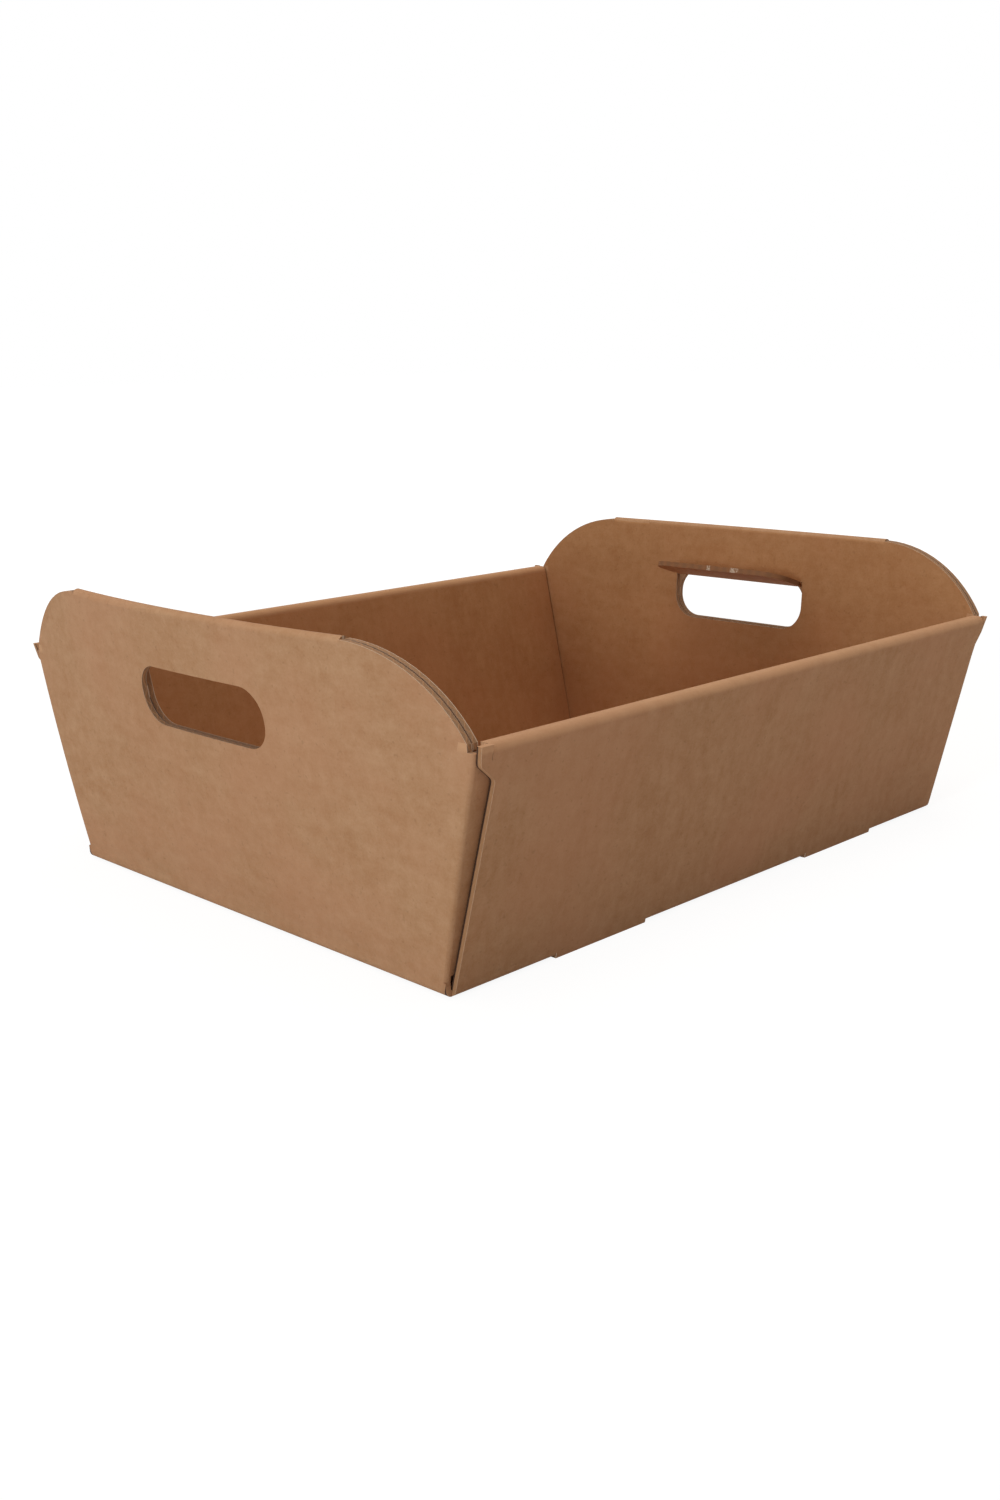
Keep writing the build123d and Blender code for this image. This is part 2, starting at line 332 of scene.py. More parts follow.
class BoardSettings(bpy.types.PropertyGroup):
    """Sizes and colours of the corrugated board."""

    thickness: FloatProperty(
        name="Thickness",
        description="Thickness of the board",
        default=0.003,
        unit="LENGTH",
    )
    layer_gap: FloatProperty(
        name="Layer gap",
        description="Space between two layers of a doubled wall",
        default=0.0004,
        unit="LENGTH",
    )
    liner_fold: FloatProperty(
        name="Liner fold",
        description="Radius of the folded liner along a flap's crease",
        default=0.00062,
        unit="LENGTH",
    )
    bridge_radius: FloatProperty(
        name="Bridge radius",
        description="Radius of the liner that bridges a bowed lining to its flap",
        default=0.00022,
        unit="LENGTH",
    )
    flute_pitch: FloatProperty(
        name="Flute pitch",
        description="Distance from one flute to the next",
        default=0.0065,
        unit="LENGTH",
    )
    liner_colour: FloatVectorProperty(
        name="Liner colour",
        description="Brown kraft paper on both faces of the board",
        default=linear(182, 142, 108),
        subtype="COLOR",
    )
    fibre_colour: FloatVectorProperty(
        name="Fibre colour",
        description="Darker fibres and cloudy patches in the paper",
        default=linear(166, 122, 86),
        subtype="COLOR",
    )
    cut_colour: FloatVectorProperty(
        name="Cut liner colour",
        description="Pale line of a liner where the board is cut",
        default=linear(216, 198, 178),
        subtype="COLOR",
    )
    flute_colour: FloatVectorProperty(
        name="Flute colour",
        description="Shaded hollows between the flutes where the board is cut",
        default=linear(138, 108, 82),
        subtype="COLOR",
    )
    gap_colour: FloatVectorProperty(
        name="Gap colour",
        description="Deep shade in the narrow gap behind a wall's cut end",
        default=linear(58, 36, 24),
        subtype="COLOR",
    )
    blush_colour: FloatVectorProperty(
        name="Blush colour",
        description="Warmer patches in the paper",
        default=linear(184, 134, 102),
        subtype="COLOR",
    )
    # Painted shade: a warmer, darker tint on the faces inside the tray and on all of the hand
    # flaps
    inside_shade_tint: FloatVectorProperty(
        name="Inner tint",
        description="Tint of the richer liner inside the tray and on the hand flaps",
        default=(0.97, 0.86, 0.7),
        subtype="COLOR",
    )
    # Painted shade on the corner flaps tucked behind the side walls
    tucked_shade_tint: FloatVectorProperty(
        name="Tucked tint",
        description="Tint of the corner flaps tucked behind the side walls",
        default=(0.6, 0.5, 0.42),
        subtype="COLOR",
    )
    flap_edge_tint: FloatVectorProperty(
        name="Flap edge tint",
        description="Tint of the cut edge round a hand flap",
        default=(0.8, 0.68, 0.6),
        subtype="COLOR",
    )
    gloss: FloatProperty(
        name="Gloss",
        description="Specular level of the uncoated paper",
        default=0.25,
        min=0.0,
        max=1.0,
        subtype="FACTOR",
    )
    roughness: FloatProperty(
        name="Roughness",
        description="Roughness of the uncoated paper",
        default=0.82,
        min=0.0,
        max=1.0,
        subtype="FACTOR",
    )


class TraySettings(bpy.types.PropertyGroup):
    """Sizes of the folded tray that its finish follows."""

    middle_x: FloatProperty(
        name="Middle",
        description="Where the middle of the base lies along the box",
        default=0.0076347,
        unit="LENGTH",
    )
    half_length: FloatProperty(
        name="Half length",
        description="Half the length of the base",
        default=0.2,
        unit="LENGTH",
    )
    half_width: FloatProperty(
        name="Half width",
        description="Half the width of the base",
        default=0.1495,
        unit="LENGTH",
    )
    floor_z: FloatProperty(
        name="Base height",
        description="Underside of the base above the ground",
        default=0.0009,
        unit="LENGTH",
    )
    rim_z: FloatProperty(
        name="Rim height",
        description="Top of the side walls above the ground",
        default=0.1205,
        unit="LENGTH",
    )
    fold_z: FloatProperty(
        name="Fold height",
        description="Level where the top fold of a handle end begins",
        default=0.156,
        unit="LENGTH",
    )
    crease_z: FloatProperty(
        name="Crease height",
        description="Top of the crease between base and walls",
        default=0.0079,
        unit="LENGTH",
    )
    bridge_z: FloatProperty(
        name="Bridge height",
        description="Level of the liner between a hole's top edge and its flap",
        default=0.12862,
        unit="LENGTH",
    )
    side_lean: FloatProperty(
        name="Side lean",
        description="Lean of the side walls from upright",
        default=math.radians(14.3),
        subtype="ANGLE",
    )
    near_lean: FloatProperty(
        name="Near lean",
        description="Lean of the near handle end",
        default=math.radians(2.8),
        subtype="ANGLE",
    )
    far_lean: FloatProperty(
        name="Far lean",
        description="Lean of the far handle end",
        default=math.radians(2.0),
        subtype="ANGLE",
    )
    near_bow: FloatProperty(
        name="Near bow",
        description="How far the near handle end bows outwards at its top",
        default=0.019,
        unit="LENGTH",
    )
    far_bow: FloatProperty(
        name="Far bow",
        description="How far the far handle end bows outwards at its top",
        default=0.0059,
        unit="LENGTH",
    )
    bow_half_width: FloatProperty(
        name="Bow half width",
        description="Half the width over which a handle end bows",
        default=0.1795,
        unit="LENGTH",
    )
    fold_half_length: FloatProperty(
        name="Fold half length",
        description="Half the length of the top fold of a handle end",
        default=0.108,
        unit="LENGTH",
    )


class StageSettings(bpy.types.PropertyGroup):
    """Floor, light and camera."""

    floor_reach: FloatProperty(
        name="Floor reach",
        description="Half the width of the floor",
        default=12.0,
        unit="LENGTH",
    )
    floor_colour: FloatVectorProperty(
        name="Floor colour",
        description="Pale floor under the box",
        default=(0.8, 0.8, 0.8),
        subtype="COLOR",
    )
    floor_white: FloatProperty(
        name="Floor white",
        description="Share of plain white in the floor, which leaves the shadow soft",
        default=0.8,
        subtype="FACTOR",
    )
    floor_glow: FloatProperty(
        name="Floor glow",
        description="Strength of that white, so that the unshaded floor comes out white",
        default=1.13,
        min=0.0,
    )
    shadow_reach: FloatProperty(
        name="Shadow reach",
        description="Distance from the middle where the floor is half way to plain white",
        default=1.0,
        unit="LENGTH",
    )
    shade_length: FloatProperty(
        name="Shade length",
        description="Half length of the floor in full shade under the base",
        default=0.192,
        unit="LENGTH",
    )
    shade_width: FloatProperty(
        name="Shade width",
        description="Half width of the floor in full shade under the base",
        default=0.142,
        unit="LENGTH",
    )
    shade_softness: FloatProperty(
        name="Shade softness",
        description="Half width of the edge of the floor in full shade",
        default=0.003,
        unit="LENGTH",
    )
    sky_light: FloatProperty(
        name="Sky light",
        description="Strength of the even light from all round",
        default=0.385,
        min=0.0,
    )
    sky_colour: FloatVectorProperty(
        name="Sky colour",
        description="Warm tint of the even light",
        default=(1.0, 0.87, 0.75),
        subtype="COLOR",
    )
    key_colour: FloatVectorProperty(
        name="Key colour",
        description="Cool tint of the lamp at the near end",
        default=(0.82, 0.94, 1.0),
        subtype="COLOR",
    )
    key_place: FloatVectorProperty(
        name="Key place",
        description="Where the lamp at the near end hangs",
        default=(-2.6, -0.4, 0.45),
        subtype="TRANSLATION",
    )
    key_size: FloatProperty(
        name="Key size",
        description="Width of the lamp at the near end",
        default=0.7,
        unit="LENGTH",
    )
    key_light: FloatProperty(
        name="Key light",
        description="Power of the lamp at the near end",
        default=29.5,
        min=0.0,
        unit="POWER",
    )
    top_colour: FloatVectorProperty(
        name="Top colour",
        description="Warm tint of the lamp overhead",
        default=(1.0, 0.95, 0.9),
        subtype="COLOR",
    )
    top_place: FloatVectorProperty(
        name="Top place",
        description="Where the lamp overhead hangs",
        default=(0.1, 0.2, 2.4),
        subtype="TRANSLATION",
    )
    top_size: FloatProperty(
        name="Top size",
        description="Width of the lamp overhead",
        default=2.4,
        unit="LENGTH",
    )
    top_light: FloatProperty(
        name="Top light",
        description="Power of the soft lamp overhead",
        default=30.0,
        min=0.0,
        unit="POWER",
    )
    aim: FloatVectorProperty(
        name="Lamp aim",
        description="Point in the box that the lamps face",
        default=(0.0, 0.0, 0.08),
        subtype="TRANSLATION",
    )
    camera_place: FloatVectorProperty(
        name="Camera place",
        description="Where the camera stands",
        default=(-0.62256, -0.62146, 0.27616),
        subtype="TRANSLATION",
    )
    camera_turn: FloatProperty(
        name="Camera turn",
        description="Heading of the camera, counted from the length of the box",
        default=math.radians(45.475),
        subtype="ANGLE",
    )
    camera_tilt: FloatProperty(
        name="Camera tilt",
        description="How far the camera looks down",
        default=math.radians(14.36),
        subtype="ANGLE",
    )
    camera_roll: FloatProperty(
        name="Camera roll",
        description="Turn of the picture about the line of sight",
        default=math.radians(-1.104),
        subtype="ANGLE",
    )
    lens: FloatProperty(
        name="Lens",
        description="Focal length in millimetres on a 36 mm sensor",
        default=37.827,
        min=1.0,
    )
    camera_near: FloatProperty(
        name="Nearest sight",
        description="Distance from the camera at which it begins to see",
        default=0.01,
        unit="LENGTH",
    )
    camera_far: FloatProperty(
        name="Farthest sight",
        description="Distance from the camera at which it stops seeing",
        default=100.0,
        unit="LENGTH",
    )


# Materials


class TrayCuts:
    """Where a point of the tray lies in its boards, and which of its faces are cut."""

    def __init__(self, shader, board, tray, place):
        self.board = board
        self.tray = tray
        self.x, self.y, self.z = shader.parts(place)
        self.facing = shader.facing()
        self.along = self.x - tray.middle_x
        self.pitch = board.thickness + board.layer_gap
        self.end_depth = self.depth_in_end()
        self.side_depth = self.depth_in_side()
        in_lining = self.end_depth.below(2 * self.pitch + END_LINING_MARGIN)
        self.in_end = self.end_depth.above(-END_MARGIN) * in_lining
        self.end = self.handle_cuts()
        self.panel_end = self.panel_ends()
        self.side = self.side_cuts()
        self.all = (self.end + self.side).clamped()

    def outer_face(self, lean, bow):
        """Distance from the middle to the outer face of a handle end."""
        tray = self.tray
        height = self.z - tray.floor_z
        bow_share = ((self.z - tray.crease_z) / (tray.fold_z - tray.crease_z)).clamped()
        across = self.y / tray.bow_half_width
        flat = height * math.tan(lean) + tray.half_length
        return flat + bow_share * bow * (1.0 - across * across)

    def depth_in_end(self):
        """How deep a point lies behind the outer face of the handle end nearer to it."""
        tray = self.tray
        near_depth = self.outer_face(tray.near_lean, tray.near_bow) + self.along
        far_depth = self.outer_face(tray.far_lean, tray.far_bow) - self.along
        far_half = self.along.above(0.0)
        return far_depth * far_half + near_depth * (1.0 - far_half)

    def depth_in_side(self):
        """How deep a point lies behind the outer face of the side wall."""
        lean = self.tray.side_lean
        face = (self.z - self.tray.floor_z) * math.tan(lean) + self.tray.half_width
        return (face - abs(self.y)) * math.cos(lean)

    def handle_cuts(self):
        """Cut edges of the handle ends: shoulders and hand holes."""
        rim = self.tray.rim_z
        y, z = abs(self.y), self.z
        shoulder = y.above(self.tray.fold_half_length - SHOULDER_MARGIN)
        shoulder = shoulder * z.above(rim - SHOULDER_FOOT)
        hole = y.below(HOLE_HALF_LENGTH) * z.above(rim - HOLE_FOOT) * z.below(rim + HOLE_TOP)
        across = abs(self.facing[0]).below(*CUT_ACROSS)
        cut = self.in_end * across * (shoulder + hole).clamped()
        return cut * self.side_depth.above(HANDLE_CUT_DEPTH * self.board.thickness)

    def panel_ends(self):
        """Ends and top edges of the side walls at the ears."""
        ear = abs(self.along).above(self.tray.half_length - EAR_LENGTH)
        end_on = abs(self.facing[0]).above(*PANEL_END_FACE)
        return ear * end_on + ear * self.z.above(self.tray.rim_z - RIM_MARGIN)

    def side_cuts(self):
        """Cut edges of the side walls: panel ends, ears and lips."""
        board, tray, z = self.board, self.tray, self.z
        in_side = self.side_depth.above(-SIDE_MARGIN)
        in_side = in_side * self.side_depth.below(board.thickness + SIDE_BACK_MARGIN)
        lip = z.below(tray.crease_z - LIP_TOP_MARGIN)
        lip = lip * abs(self.y).above(tray.half_width - LIP_WIDTH)
        lip_foot = z.below(tray.floor_z - LIP_FOOT_MARGIN)
        lip_cut = lip * (lip_foot + abs(self.facing[0]).above(*LIP_END_FACE))
        across = abs(self.facing[1]).below(*CUT_ACROSS)
        cut = in_side * across * (self.panel_end + lip_cut).clamped() * (1.0 - self.end)
        return cut * (1.0 - z.above(tray.crease_z) * self.facing[2].above(*FACE_UP))

    def gap_shade_line(self):
        """Painted shade along the gap between the two layers of a handle end, in its cut edge."""
        behind = abs(self.end_depth - self.pitch + self.board.layer_gap / 2)
        return behind.below(*GAP_SHADE_LINE) * self.end * abs(self.facing[2]).above(*GAP_SHADE_FACE)

    def side_share(self):
        """Position across a side wall's board, from 0 outside to 1 inside."""
        return self.side_depth / self.board.thickness

    def board_lines(self):
        """Liners and flutes in the cut board."""
        end_share = self.end_depth.remainder(self.pitch) / self.board.thickness
        share = end_share * self.end + self.side_share() * self.side
        liners = (abs(share - BOARD_MIDDLE) / BOARD_MIDDLE).above(*LINER_LINE)
        run = (self.y + self.z * FLUTE_SLANT) * self.end + (self.z + self.along) * self.side
        wave = (run * (2 * math.pi / self.board.flute_pitch)).sine()
        wave = wave * FLUTE_HEIGHT + BOARD_MIDDLE
        return liners, abs(share - wave).below(*FLUTE_LINE)

    def highlit_folds(self):
        """Folds of the rim and of the handle ends, which get a painted highlight."""
        tray, z = self.tray, self.z
        rim = z.above(tray.rim_z - RIM_HIGHLIGHT_DEPTH, HIGHLIGHT_SOFTNESS) * z.below(tray.rim_z + RIM_HIGHLIGHT_TOP)
        rim = rim * self.side_depth.above(-HIGHLIGHT_MARGIN)
        rim = rim * self.side_depth.below(RIM_HIGHLIGHT_BOARDS * self.board.thickness)
        top = z.above(tray.fold_z + TOP_HIGHLIGHT_START, HIGHLIGHT_SOFTNESS) * self.in_end
        return rim + top * TOP_HIGHLIGHT_SHARE

    def inside(self):
        """Faces that look into the tray, which get painted shade."""
        past_side = self.side_depth.above(INSIDE_SIDE_DEPTH * self.board.thickness)
        return past_side * self.end_depth.above(INSIDE_END_DEPTH * self.board.thickness)

    def tucked(self):
        """Faces of the corner flaps just behind the side walls, which get painted shade that
        darkens away from the walls' ends.
        """
        tray, thickness = self.tray, self.board.thickness
        behind = self.side_depth.above(TUCKED_FRONT * thickness)
        behind = behind * self.side_depth.below(TUCKED_BACK * thickness)
        past_end = abs(self.along).above(tray.half_length - TUCKED_END, TUCKED_SOFTNESS)
        behind = behind * (1.0 - past_end) * (1.0 - self.all)
        return behind * self.z.below(tray.rim_z - TUCKED_TOP)


def kraft_paper(shader, board, place, on_end, clouds, fibres):
    """Kraft liner with patches, streaks along the flutes, warm blushes and dark flecks."""
    patches = shader.noise(place, *PATCHES)
    lying = shader.noise(place, *LYING_STREAKS)
    standing = shader.noise(place, *STANDING_STREAKS)
    streaks = lying * on_end + standing * (1.0 - on_end)
    tone = clouds + patches * PATCH_WEIGHT + streaks * STREAK_WEIGHT + fibres * FIBRE_WEIGHT
    tone = (tone - TONE_OFFSET).clamped()
    paper = shader.blend(tone, board.liner_colour, board.fibre_colour)
    blush = shader.noise(place, *BLUSHES).above(*BLUSH_LEVEL)
    paper = shader.blend(blush * BLUSH_SHARE, paper, board.blush_colour)
    flecks = shader.noise(place, *FLECKS).above(*FLECK_LEVEL)
    dark = tuple(c * FLECK_DARKNESS for c in board.fibre_colour)
    return shader.blend(flecks * FLECK_SHARE, paper, dark)


def cut_board(shader, board, cuts, liners, flutes):
    """Colour of the cut edges: pale liners, flutes, painted shade in the gaps and on the side
    walls' ends, and a painted highlight on the handle ends' cuts.
    """
    gap = cuts.gap_shade_line()
    edge = shader.blend(flutes, board.flute_colour, board.fibre_colour)
    edge = shader.blend(liners, edge, board.cut_colour)
    # Painted shade along the gap between the two layers of a handle end
    edge = shader.blend(gap, edge, board.gap_colour)
    # Painted highlight: the handle ends' cut edges are paled towards the liner colour
    edge = shader.blend(cuts.end * (1.0 - gap) * END_EDGE_HIGHLIGHT, edge, board.liner_colour)
    # Painted shade on the side walls' cut ends at the ears, darkest on the inner part of the board
    # by the gap
    shaded = cuts.side * cuts.panel_end.clamped()
    edge = shader.blend(shaded * SIDE_EDGE_SHADE, edge, board.fibre_colour)
    back = shaded * cuts.side_share().above(*SHADED_BACK)
    return shader.blend(back, edge, board.gap_colour)


def finish_paper(shader, board, colour, fibres, relief):
    """Gives the shader the surface of uncoated paper."""
    values = {"Strength": RELIEF_STRENGTH, "Distance": RELIEF_DEPTH, "Height": relief}
    bump = shader.node("ShaderNodeBump", {}, values)
    base_roughness = board.roughness - FIBRE_ROUGHNESS / 2
    surface = shader.node(
        "ShaderNodeBsdfPrincipled",
        {},
        {
            "Base Color": colour,
            "Roughness": (fibres * FIBRE_ROUGHNESS + base_roughness).clamped(),
            "Normal": bump,
            "Specular IOR Level": board.gloss,
        },
    )
    shader.show("ShaderNodeOutputMaterial", surface)


def board_material(name, board, tray):
    """Kraft liner with cloudy fibres, and liner, flute and liner on the cut edges."""
    material = bpy.data.materials.new(name)
    shader = Shader(material)
    place = shader.place()
    cuts = TrayCuts(shader, board, tray, place)
    liners, flutes = cuts.board_lines()
    clouds = shader.noise(place, *CLOUDS)
    fibres = shader.noise(place, *FIBRES)

    on_end = abs(cuts.facing[0]).above(*ON_HANDLE_END)
    paper = kraft_paper(shader, board, place, on_end, clouds, fibres)
    # Painted shade inside the tray: the paper there is tinted warmer and darker
    paper = shader.tint(cuts.inside(), paper, board.inside_shade_tint)
    # Painted highlight: the folds of the rim and of the handle ends' tops are paled, broken up by
    # the clouds
    highlight = (cuts.highlit_folds() * (clouds * HIGHLIGHT_CLOUDS + (1.0 - HIGHLIGHT_CLOUDS))).clamped()
    pale = tuple(min(1.0, c * HIGHLIGHT_PALENESS) for c in board.liner_colour)
    paper = shader.blend(highlight * HIGHLIGHT_SHARE, paper, pale)
    # Painted shade on the tucked corner flaps
    paper = shader.tint(cuts.tucked() * TUCKED_SHADE_SHARE, paper, board.tucked_shade_tint)
    colour = shader.blend(cuts.all, paper, cut_board(shader, board, cuts, liners, flutes))

    ribs = (cuts.z * (2 * math.pi / board.flute_pitch)).sine()
    relief = fibres * FIBRE_RELIEF + clouds * CLOUD_RELIEF
    relief = relief + ribs * RIB_RELIEF * (1.0 - cuts.all)
    relief = relief - cuts.all * (1.0 - liners) * (1.0 - flutes) * HOLLOW_RELIEF
    finish_paper(shader, board, colour, fibres, relief)
    return material


def flap_material(name, board, nicks=()):
    """The same paper on a hand flap, with the cut edge all round it and torn specks."""
    material = bpy.data.materials.new(name)
    shader = Shader(material)
    place = shader.place()
    x, y, _ = shader.parts(place)
    clouds = shader.noise(place, *CLOUDS)
    fibres = shader.noise(place, *FIBRES)
    tone = clouds * FLAP_CLOUD_WEIGHT + fibres * FLAP_FIBRE_WEIGHT - FLAP_TONE_OFFSET
    paper = shader.blend(tone.clamped(), board.liner_colour, board.fibre_colour)
    # Painted shade: the whole flap takes the warmer, darker tint of the tray's inside
    paper = shader.tint(1.0, paper, board.inside_shade_tint)
    cut = abs(shader.facing()[2]).below(*FLAP_RIM_FACE)
    flutes = (y * (2 * math.pi / board.flute_pitch)).sine()
    flutes = flutes * FLAP_FLUTE_CHANGE + FLAP_FLUTE_SHARE
    edge = shader.blend(flutes, board.fibre_colour, board.flute_colour)
    edge = shader.tint(1.0, edge, board.flap_edge_tint)
    colour = shader.blend(cut, paper, edge)
    for middle, half in nicks:
        nick = abs(y - middle).below(half, NICK_SOFTNESS) * fibres.above(*NICK_FIBRES)
        nick = nick * x.below(*NICK_INNER_LIMIT)
        colour = shader.blend(nick * cut * NICK_SHARE, colour, board.cut_colour)
    finish_paper(shader, board, colour, fibres, fibres * FIBRE_RELIEF + clouds * CLOUD_RELIEF)
    return material


def floor_material(stage, tray):
    """Pale floor that comes out white where no shadow falls on it."""
    material = bpy.data.materials.new("pale_floor")
    shader = Shader(material)
    x, y, _ = shader.parts(shader.place())
    values = {"Color": stage.floor_colour, "Roughness": 1.0}
    lit = shader.node("ShaderNodeBsdfDiffuse", {}, values)
    white = shader.node(
        "ShaderNodeEmission", {}, {"Color": WHITE, "Strength": stage.floor_glow}
    )
    under = abs(x - tray.middle_x).below(stage.shade_length, stage.shade_softness)
    under = under * abs(y).below(stage.shade_width, stage.shade_softness)
    reach = stage.shadow_reach**2
    far = (x * x + y * y).above(reach, reach / 2)
    whiteness = far * (1.0 - stage.floor_white) + stage.floor_white
    share = shader.looked_at() * (1.0 - under) * whiteness
    surface = shader.node("ShaderNodeMixShader", {}, [share, lit, white])
    shader.show("ShaderNodeOutputMaterial", surface)
    return material


# Pieces


def finish_mesh(name, shape, material, body):
    """Makes a bmesh a piece that rides on a body."""
    bmesh.ops.recalc_face_normals(shape, faces=shape.faces)
    mesh = bpy.data.meshes.new(name)
    shape.to_mesh(mesh)
    shape.free()
    mesh.materials.append(material)
    piece = bpy.data.objects.new(name, mesh)
    bpy.context.scene.collection.objects.link(piece)
    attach(piece, body)


def dress_node(name, material):
    """Gives a CAD node its one material."""
    materials = frame["nodes"][name].data.materials
    materials.clear()
    materials.append(material)


def crease_place(end):
    """Where the hinge of an end's hand flap lies."""
    places = [j["pos_m"] for j in frame["joints"] if j["child"] == end + "_flap"]
    if len(places) != 1:
        raise RuntimeError("no single hinge for the " + end + " hand flap")
    return places[0]


class HAMPER_OT_board_tray(bpy.types.Operator):
    """Give the folded tray its corrugated board"""

    bl_idname = "hamper.board_tray"
    bl_label = "Board the tray"

    def execute(self, context):
        scene = context.scene
        material = board_material("kraft_board_tray", scene.hamper_board, scene.hamper_tray)
        dress_node(TRAY, material)
        return {"FINISHED"}


class HAMPER_OT_board_flaps(bpy.types.Operator):
    """Give the two hand flaps their corrugated board"""

    bl_idname = "hamper.board_flaps"
    bl_label = "Board the hand flaps"

    def execute(self, context):
        board = context.scene.hamper_board
        for end, name in FLAPS.items():
            nicks = FAR_FLAP_NICKS if end == "far" else ()
            dress_node(name, flap_material("kraft_board_" + name, board, nicks))
        return {"FINISHED"}


class HAMPER_OT_crease_liners(bpy.types.Operator):
    """Lay the folded liner along the crease of each hand flap"""

    bl_idname = "hamper.crease_liners"
    bl_label = "Lay the crease liners"

    def execute(self, context):
        board = context.scene.hamper_board
        for end, name in FLAPS.items():
            low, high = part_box(name)
            shape = bmesh.new()
            bmesh.ops.create_cone(
                shape,
                cap_ends=True,
                segments=LINER_SIDES,
                radius1=board.liner_fold,
                radius2=board.liner_fold,
                depth=high[1] - low[1],
                matrix=Matrix.Translation(crease_place(end)) @ ALONG_CREASE,
            )
            material = flap_material("crease_paper_" + end, board)
            finish_mesh(end + "_crease_liner", shape, material, end + "_flap")
        return {"FINISHED"}


class HAMPER_OT_liner_bridges(bpy.types.Operator):
    """Bridge the bowed lining down to each hand flap's straight crease"""

    bl_idname = "hamper.liner_bridges"
    bl_label = "Bridge the linings"

    def execute(self, context):
        board = context.scene.hamper_board
        tray = context.scene.hamper_tray
        for end, side, lean, bow in (
            ("near", -1, tray.near_lean, tray.near_bow),
            ("far", 1, tray.far_lean, tray.far_bow),
        ):
            low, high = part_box(FLAPS[end])
            half = (high[1] - low[1]) / 2
            level = tray.bridge_z
            sag = bow * (level - tray.crease_z) / (tray.fold_z - tray.crease_z)
            outer = tray.half_length + (level - tray.floor_z) * math.tan(lean) + sag
            stack = (2 * board.thickness + board.layer_gap) / math.cos(lean)
            radius = (tray.bow_half_width**2 + sag**2) / (2 * sag)
            reach = outer - stack + board.bridge_radius
            centre = Vector((tray.middle_x + side * (reach - radius), 0.0, level))
            angle = math.asin(half / radius)
            shape = bmesh.new()
            bmesh.ops.create_circle(
                shape,
                cap_ends=True,
                segments=BRIDGE_SIDES,
                radius=board.bridge_radius,
                matrix=Matrix.Translation((side * radius, 0.0, 0.0)) @ ALONG_CREASE,
            )
            start = Matrix.Rotation(-angle, 3, "Z")
            bmesh.ops.rotate(shape, verts=shape.verts, matrix=start)
            bmesh.ops.translate(shape, verts=shape.verts, vec=centre)
            bmesh.ops.spin(
                shape,
                geom=[*shape.verts, *shape.edges, *shape.faces],
                cent=centre,
                axis=(0.0, 0.0, 1.0),
                angle=2 * angle,
                steps=BRIDGE_STEPS,
            )
            material = flap_material("bridge_paper_" + end, board)
            finish_mesh(end + "_liner_bridge", shape, material, "tray")
        return {"FINISHED"}


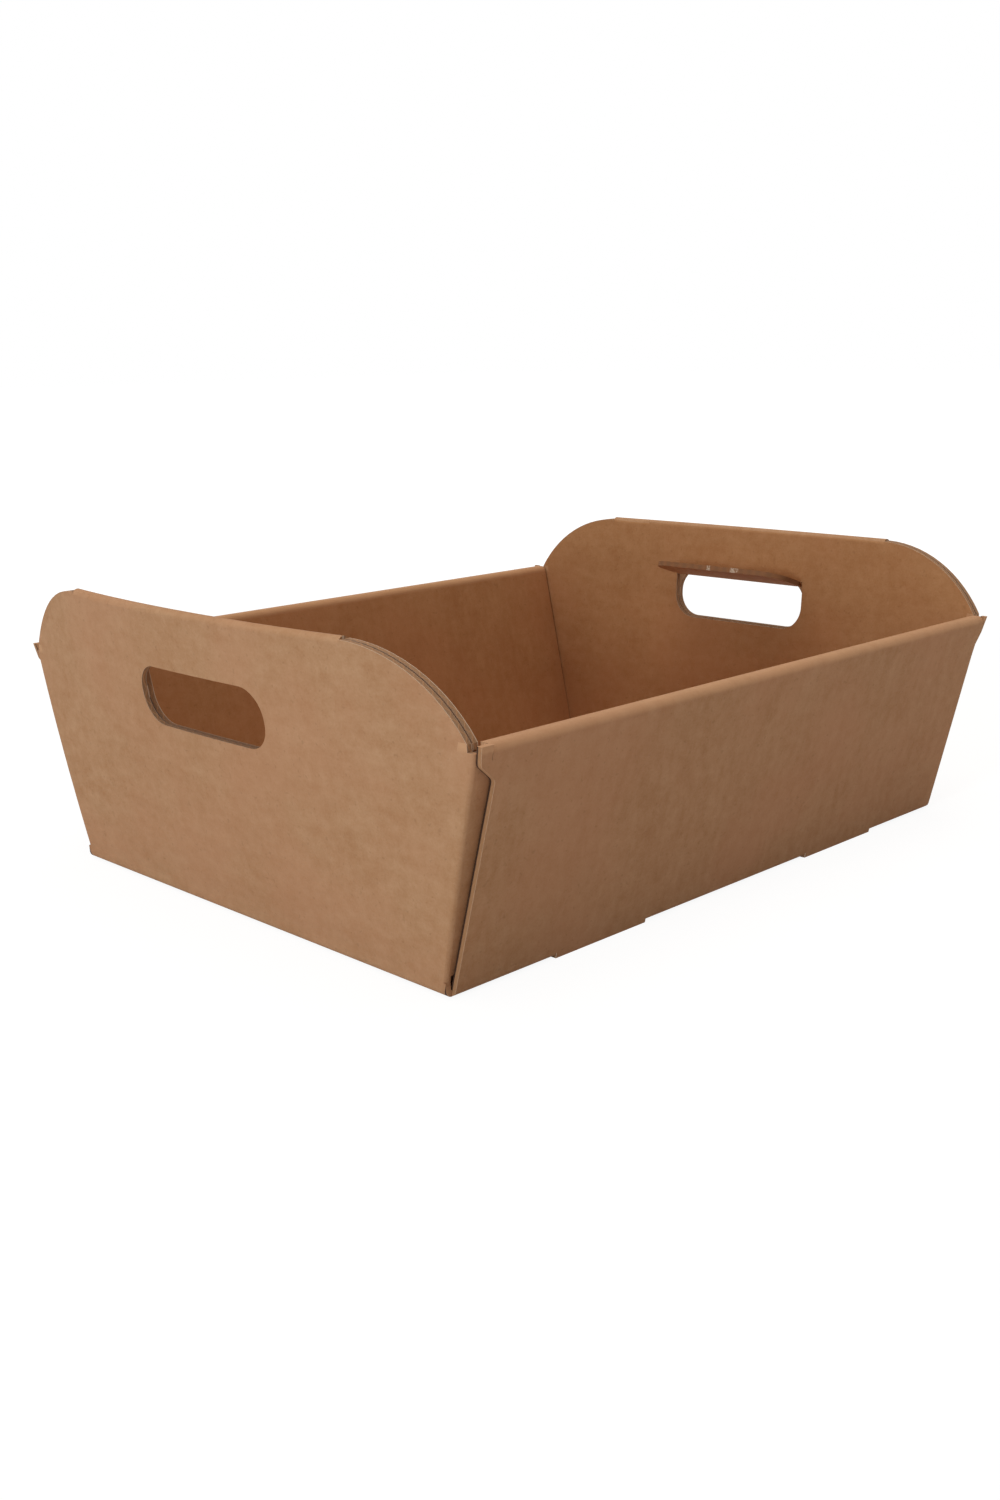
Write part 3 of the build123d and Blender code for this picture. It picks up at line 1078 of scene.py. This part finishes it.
class HAMPER_OT_stage(bpy.types.Operator):
    """Set out the floor, the lights and the camera"""

    bl_idname = "hamper.stage"
    bl_label = "Set the stage"

    def execute(self, context):
        scene = context.scene
        stage = scene.hamper_stage
        self.lay_floor(scene, stage)
        self.light_world(scene, stage)
        for name, place, size, power, colour in (
            ("key_lamp", stage.key_place, stage.key_size, stage.key_light, stage.key_colour),
            ("top_lamp", stage.top_place, stage.top_size, stage.top_light, stage.top_colour),
        ):
            lamp = bpy.data.lights.new(name, "AREA")
            lamp.shape = "SQUARE"
            lamp.size = size
            lamp.energy = power
            lamp.color = colour
            self.hang_lamp(scene, lamp, place, stage.aim)
        self.place_camera(scene, stage)
        return {"FINISHED"}

    def lay_floor(self, scene, stage):
        """One flat square under the box."""
        shape = bmesh.new()
        bmesh.ops.create_grid(shape, x_segments=1, y_segments=1, size=stage.floor_reach)
        mesh = bpy.data.meshes.new("floor")
        shape.to_mesh(mesh)
        shape.free()
        floor = bpy.data.objects.new("floor", mesh)
        scene.collection.objects.link(floor)
        mesh.materials.append(floor_material(stage, scene.hamper_tray))

    def light_world(self, scene, stage):
        """Even light from all round, and plain white where the camera sees it."""
        world = bpy.data.worlds.new("studio")
        shader = Shader(world)
        values = {"Color": stage.sky_colour, "Strength": stage.sky_light}
        light = shader.node("ShaderNodeBackground", {}, values)
        white = shader.node("ShaderNodeBackground", {}, {"Color": WHITE, "Strength": 1.0})
        mixed = shader.node("ShaderNodeMixShader", {}, [shader.looked_at(), light, white])
        shader.show("ShaderNodeOutputWorld", mixed)
        scene.world = world

    def hang_lamp(self, scene, lamp, place, aim):
        """Hangs a lamp so that it faces the box."""
        holder = bpy.data.objects.new(lamp.name, lamp)
        holder.location = place
        away = Vector(place) - Vector(aim)
        holder.rotation_euler = away.to_track_quat("Z", "Y").to_euler()
        scene.collection.objects.link(holder)

    def place_camera(self, scene, stage):
        """The camera at the photograph's angle."""
        tilt, turn, roll = stage.camera_tilt, stage.camera_turn, stage.camera_roll
        ahead = Vector((math.cos(turn), math.sin(turn), 0.0)) * math.cos(tilt)
        forward = ahead - Vector((0.0, 0.0, math.sin(tilt)))
        right = Vector((math.sin(turn), -math.cos(turn), 0.0))
        up = right.cross(forward)
        level = right * math.cos(roll) + up * math.sin(roll)
        upright = up * math.cos(roll) - right * math.sin(roll)
        camera = bpy.data.cameras.new("camera")
        camera.lens = stage.lens
        camera.clip_start = stage.camera_near
        camera.clip_end = stage.camera_far
        holder = bpy.data.objects.new("camera", camera)
        turned = Matrix((level, upright, -forward)).transposed()
        holder.matrix_world = Matrix.Translation(stage.camera_place) @ turned.to_4x4()
        scene.collection.objects.link(holder)
        scene.camera = holder
        scene.view_settings.view_transform = "Standard"


class HAMPER_PT_panel(bpy.types.Panel):
    """Hamper box"""

    bl_idname = "HAMPER_PT_panel"
    bl_label = "Hamper box"
    bl_space_type = "VIEW_3D"
    bl_region_type = "UI"
    bl_category = "Hamper box"

    def draw(self, context):
        layout = self.layout
        for made in OPERATORS:
            layout.operator(made.bl_idname)
        for name in GROUPS:
            box = layout.box()
            group = getattr(context.scene, name)
            for setting in group.bl_rna.properties:
                if setting.identifier not in {"rna_type", "name"}:
                    box.prop(group, setting.identifier)


GROUPS = {
    "hamper_board": BoardSettings,
    "hamper_tray": TraySettings,
    "hamper_stage": StageSettings,
}
OPERATORS = (
    HAMPER_OT_board_tray,
    HAMPER_OT_board_flaps,
    HAMPER_OT_crease_liners,
    HAMPER_OT_liner_bridges,
    HAMPER_OT_stage,
)


def register():
    for name, group in GROUPS.items():
        bpy.utils.register_class(group)
        setattr(bpy.types.Scene, name, PointerProperty(type=group))
    for made in (*OPERATORS, HAMPER_PT_panel):
        bpy.utils.register_class(made)


def unregister():
    for made in reversed((*OPERATORS, HAMPER_PT_panel)):
        bpy.utils.unregister_class(made)
    for name, group in reversed(GROUPS.items()):
        delattr(bpy.types.Scene, name)
        bpy.utils.unregister_class(group)


def main():
    register()
    bpy.ops.hamper.board_tray()
    bpy.ops.hamper.board_flaps()
    bpy.ops.hamper.crease_liners()
    bpy.ops.hamper.liner_bridges()
    bpy.ops.hamper.stage()


if __name__ == "__main__":
    main()
